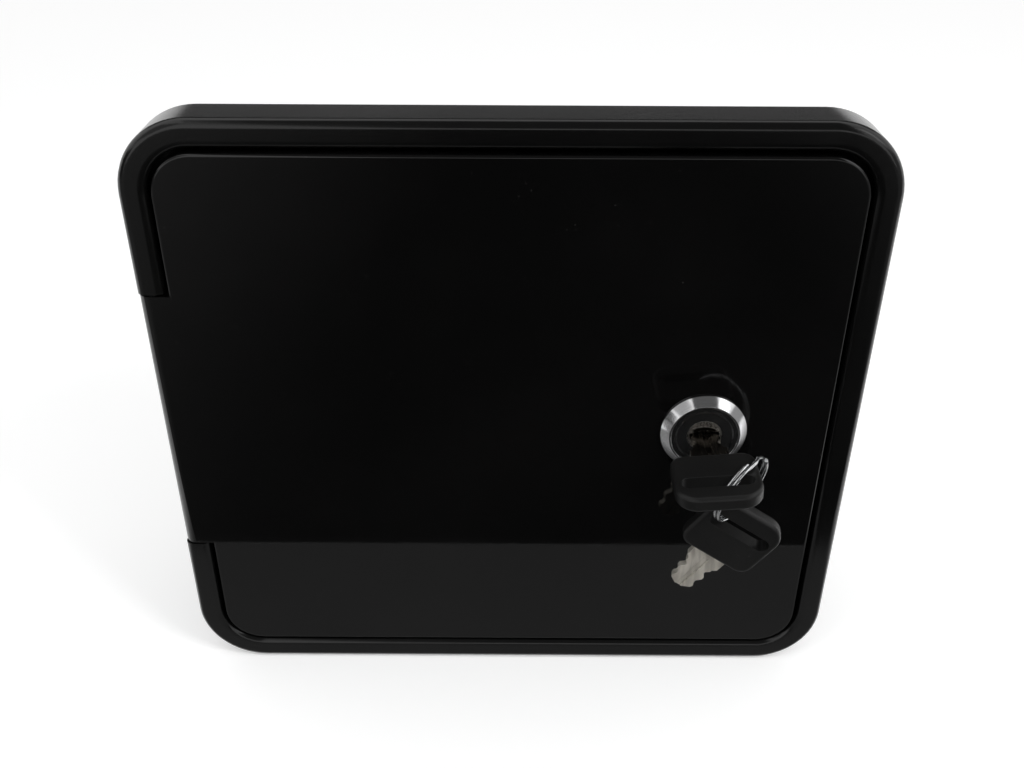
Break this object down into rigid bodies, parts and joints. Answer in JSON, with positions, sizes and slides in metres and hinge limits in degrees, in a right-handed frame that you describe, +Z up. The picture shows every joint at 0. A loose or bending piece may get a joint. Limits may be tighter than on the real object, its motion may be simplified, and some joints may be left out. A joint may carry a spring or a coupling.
{
  "type": "water fill hatch",
  "caption": "Lockable water fill hatch for a caravan wall: hinged door, sealed recess, capped fill neck, vent, cam lock and keys.",
  "frame": {"origin": "middle of the flange's back face, in the plane of the wall's outer face", "axes": "+X to the right seen from outside, +Z up, +Y into the wall; the hatch faces -Y"},
  "size_m": [0.21, 0.1412, 0.19],
  "materials": {
    "body_plastic": "gloss black moulded plastic, slightly satin on the rim",
    "pan_plastic": "black moulded plastic, satin",
    "cap_plastic": "black moulded plastic, fine grain",
    "seal_rubber": "black sponge rubber",
    "pin_steel": "drawn steel",
    "lock_steel": "zinc plated",
    "bezel_metal": "bright nickel plate, turned in circles",
    "collar_plastic": "black, semi-gloss",
    "plug_metal": "nickel over brass, worn",
    "blade_metal": "nickel silver, milled",
    "key_plastic": "black moulded plastic, satin",
    "ring_steel": "bright steel wire"
  },
  "bodies": {
    "flange": {"frame": "body_plastic", "hinge_pin": "pin_steel", "door_seal": "seal_rubber", "recess_pan": "pan_plastic", "fill_neck": "pan_plastic", "neck_gasket": "seal_rubber", "neck_nut": "pan_plastic", "fill_cap": "cap_plastic", "cap_washer": "seal_rubber", "vent_fitting": "pan_plastic", "vent_nut": "pan_plastic"},
    "door": {"door_panel": "body_plastic", "lock_bezel": "bezel_metal", "lock_housing": "collar_plastic", "lock_collar_ring": "ring_steel", "lock_washer": "pin_steel", "lock_nut": "lock_steel"},
    "lock_core": {"lock_plug": "plug_metal", "lock_cam": "lock_steel", "cam_screw": "lock_steel", "key_blade": "blade_metal", "key_head": "key_plastic"},
    "spare_key": {"key_ring": "ring_steel", "spare_key_blade": "blade_metal", "spare_key_head": "key_plastic"}
  },
  "joints": [
    {"name": "door_hinge", "type": "hinge", "parent": "flange", "child": "door", "pos_m": [-0.1012, -0.0102, 0], "axis": [0, 0, -1], "range_deg": [0, 120]},
    {"name": "lock_turn", "type": "hinge", "parent": "door", "child": "lock_core", "pos_m": [0.0583, -0.0165, 0], "axis": [0, 1, 0], "range_deg": [0, 95]},
    {"name": "ring_swing", "type": "hinge", "parent": "lock_core", "child": "spare_key", "pos_m": [0.06657, -0.03532, -0.00551], "axis": [0.6975, -0.6747, -0.2414], "range_deg": [-20, 20]}
  ]
}
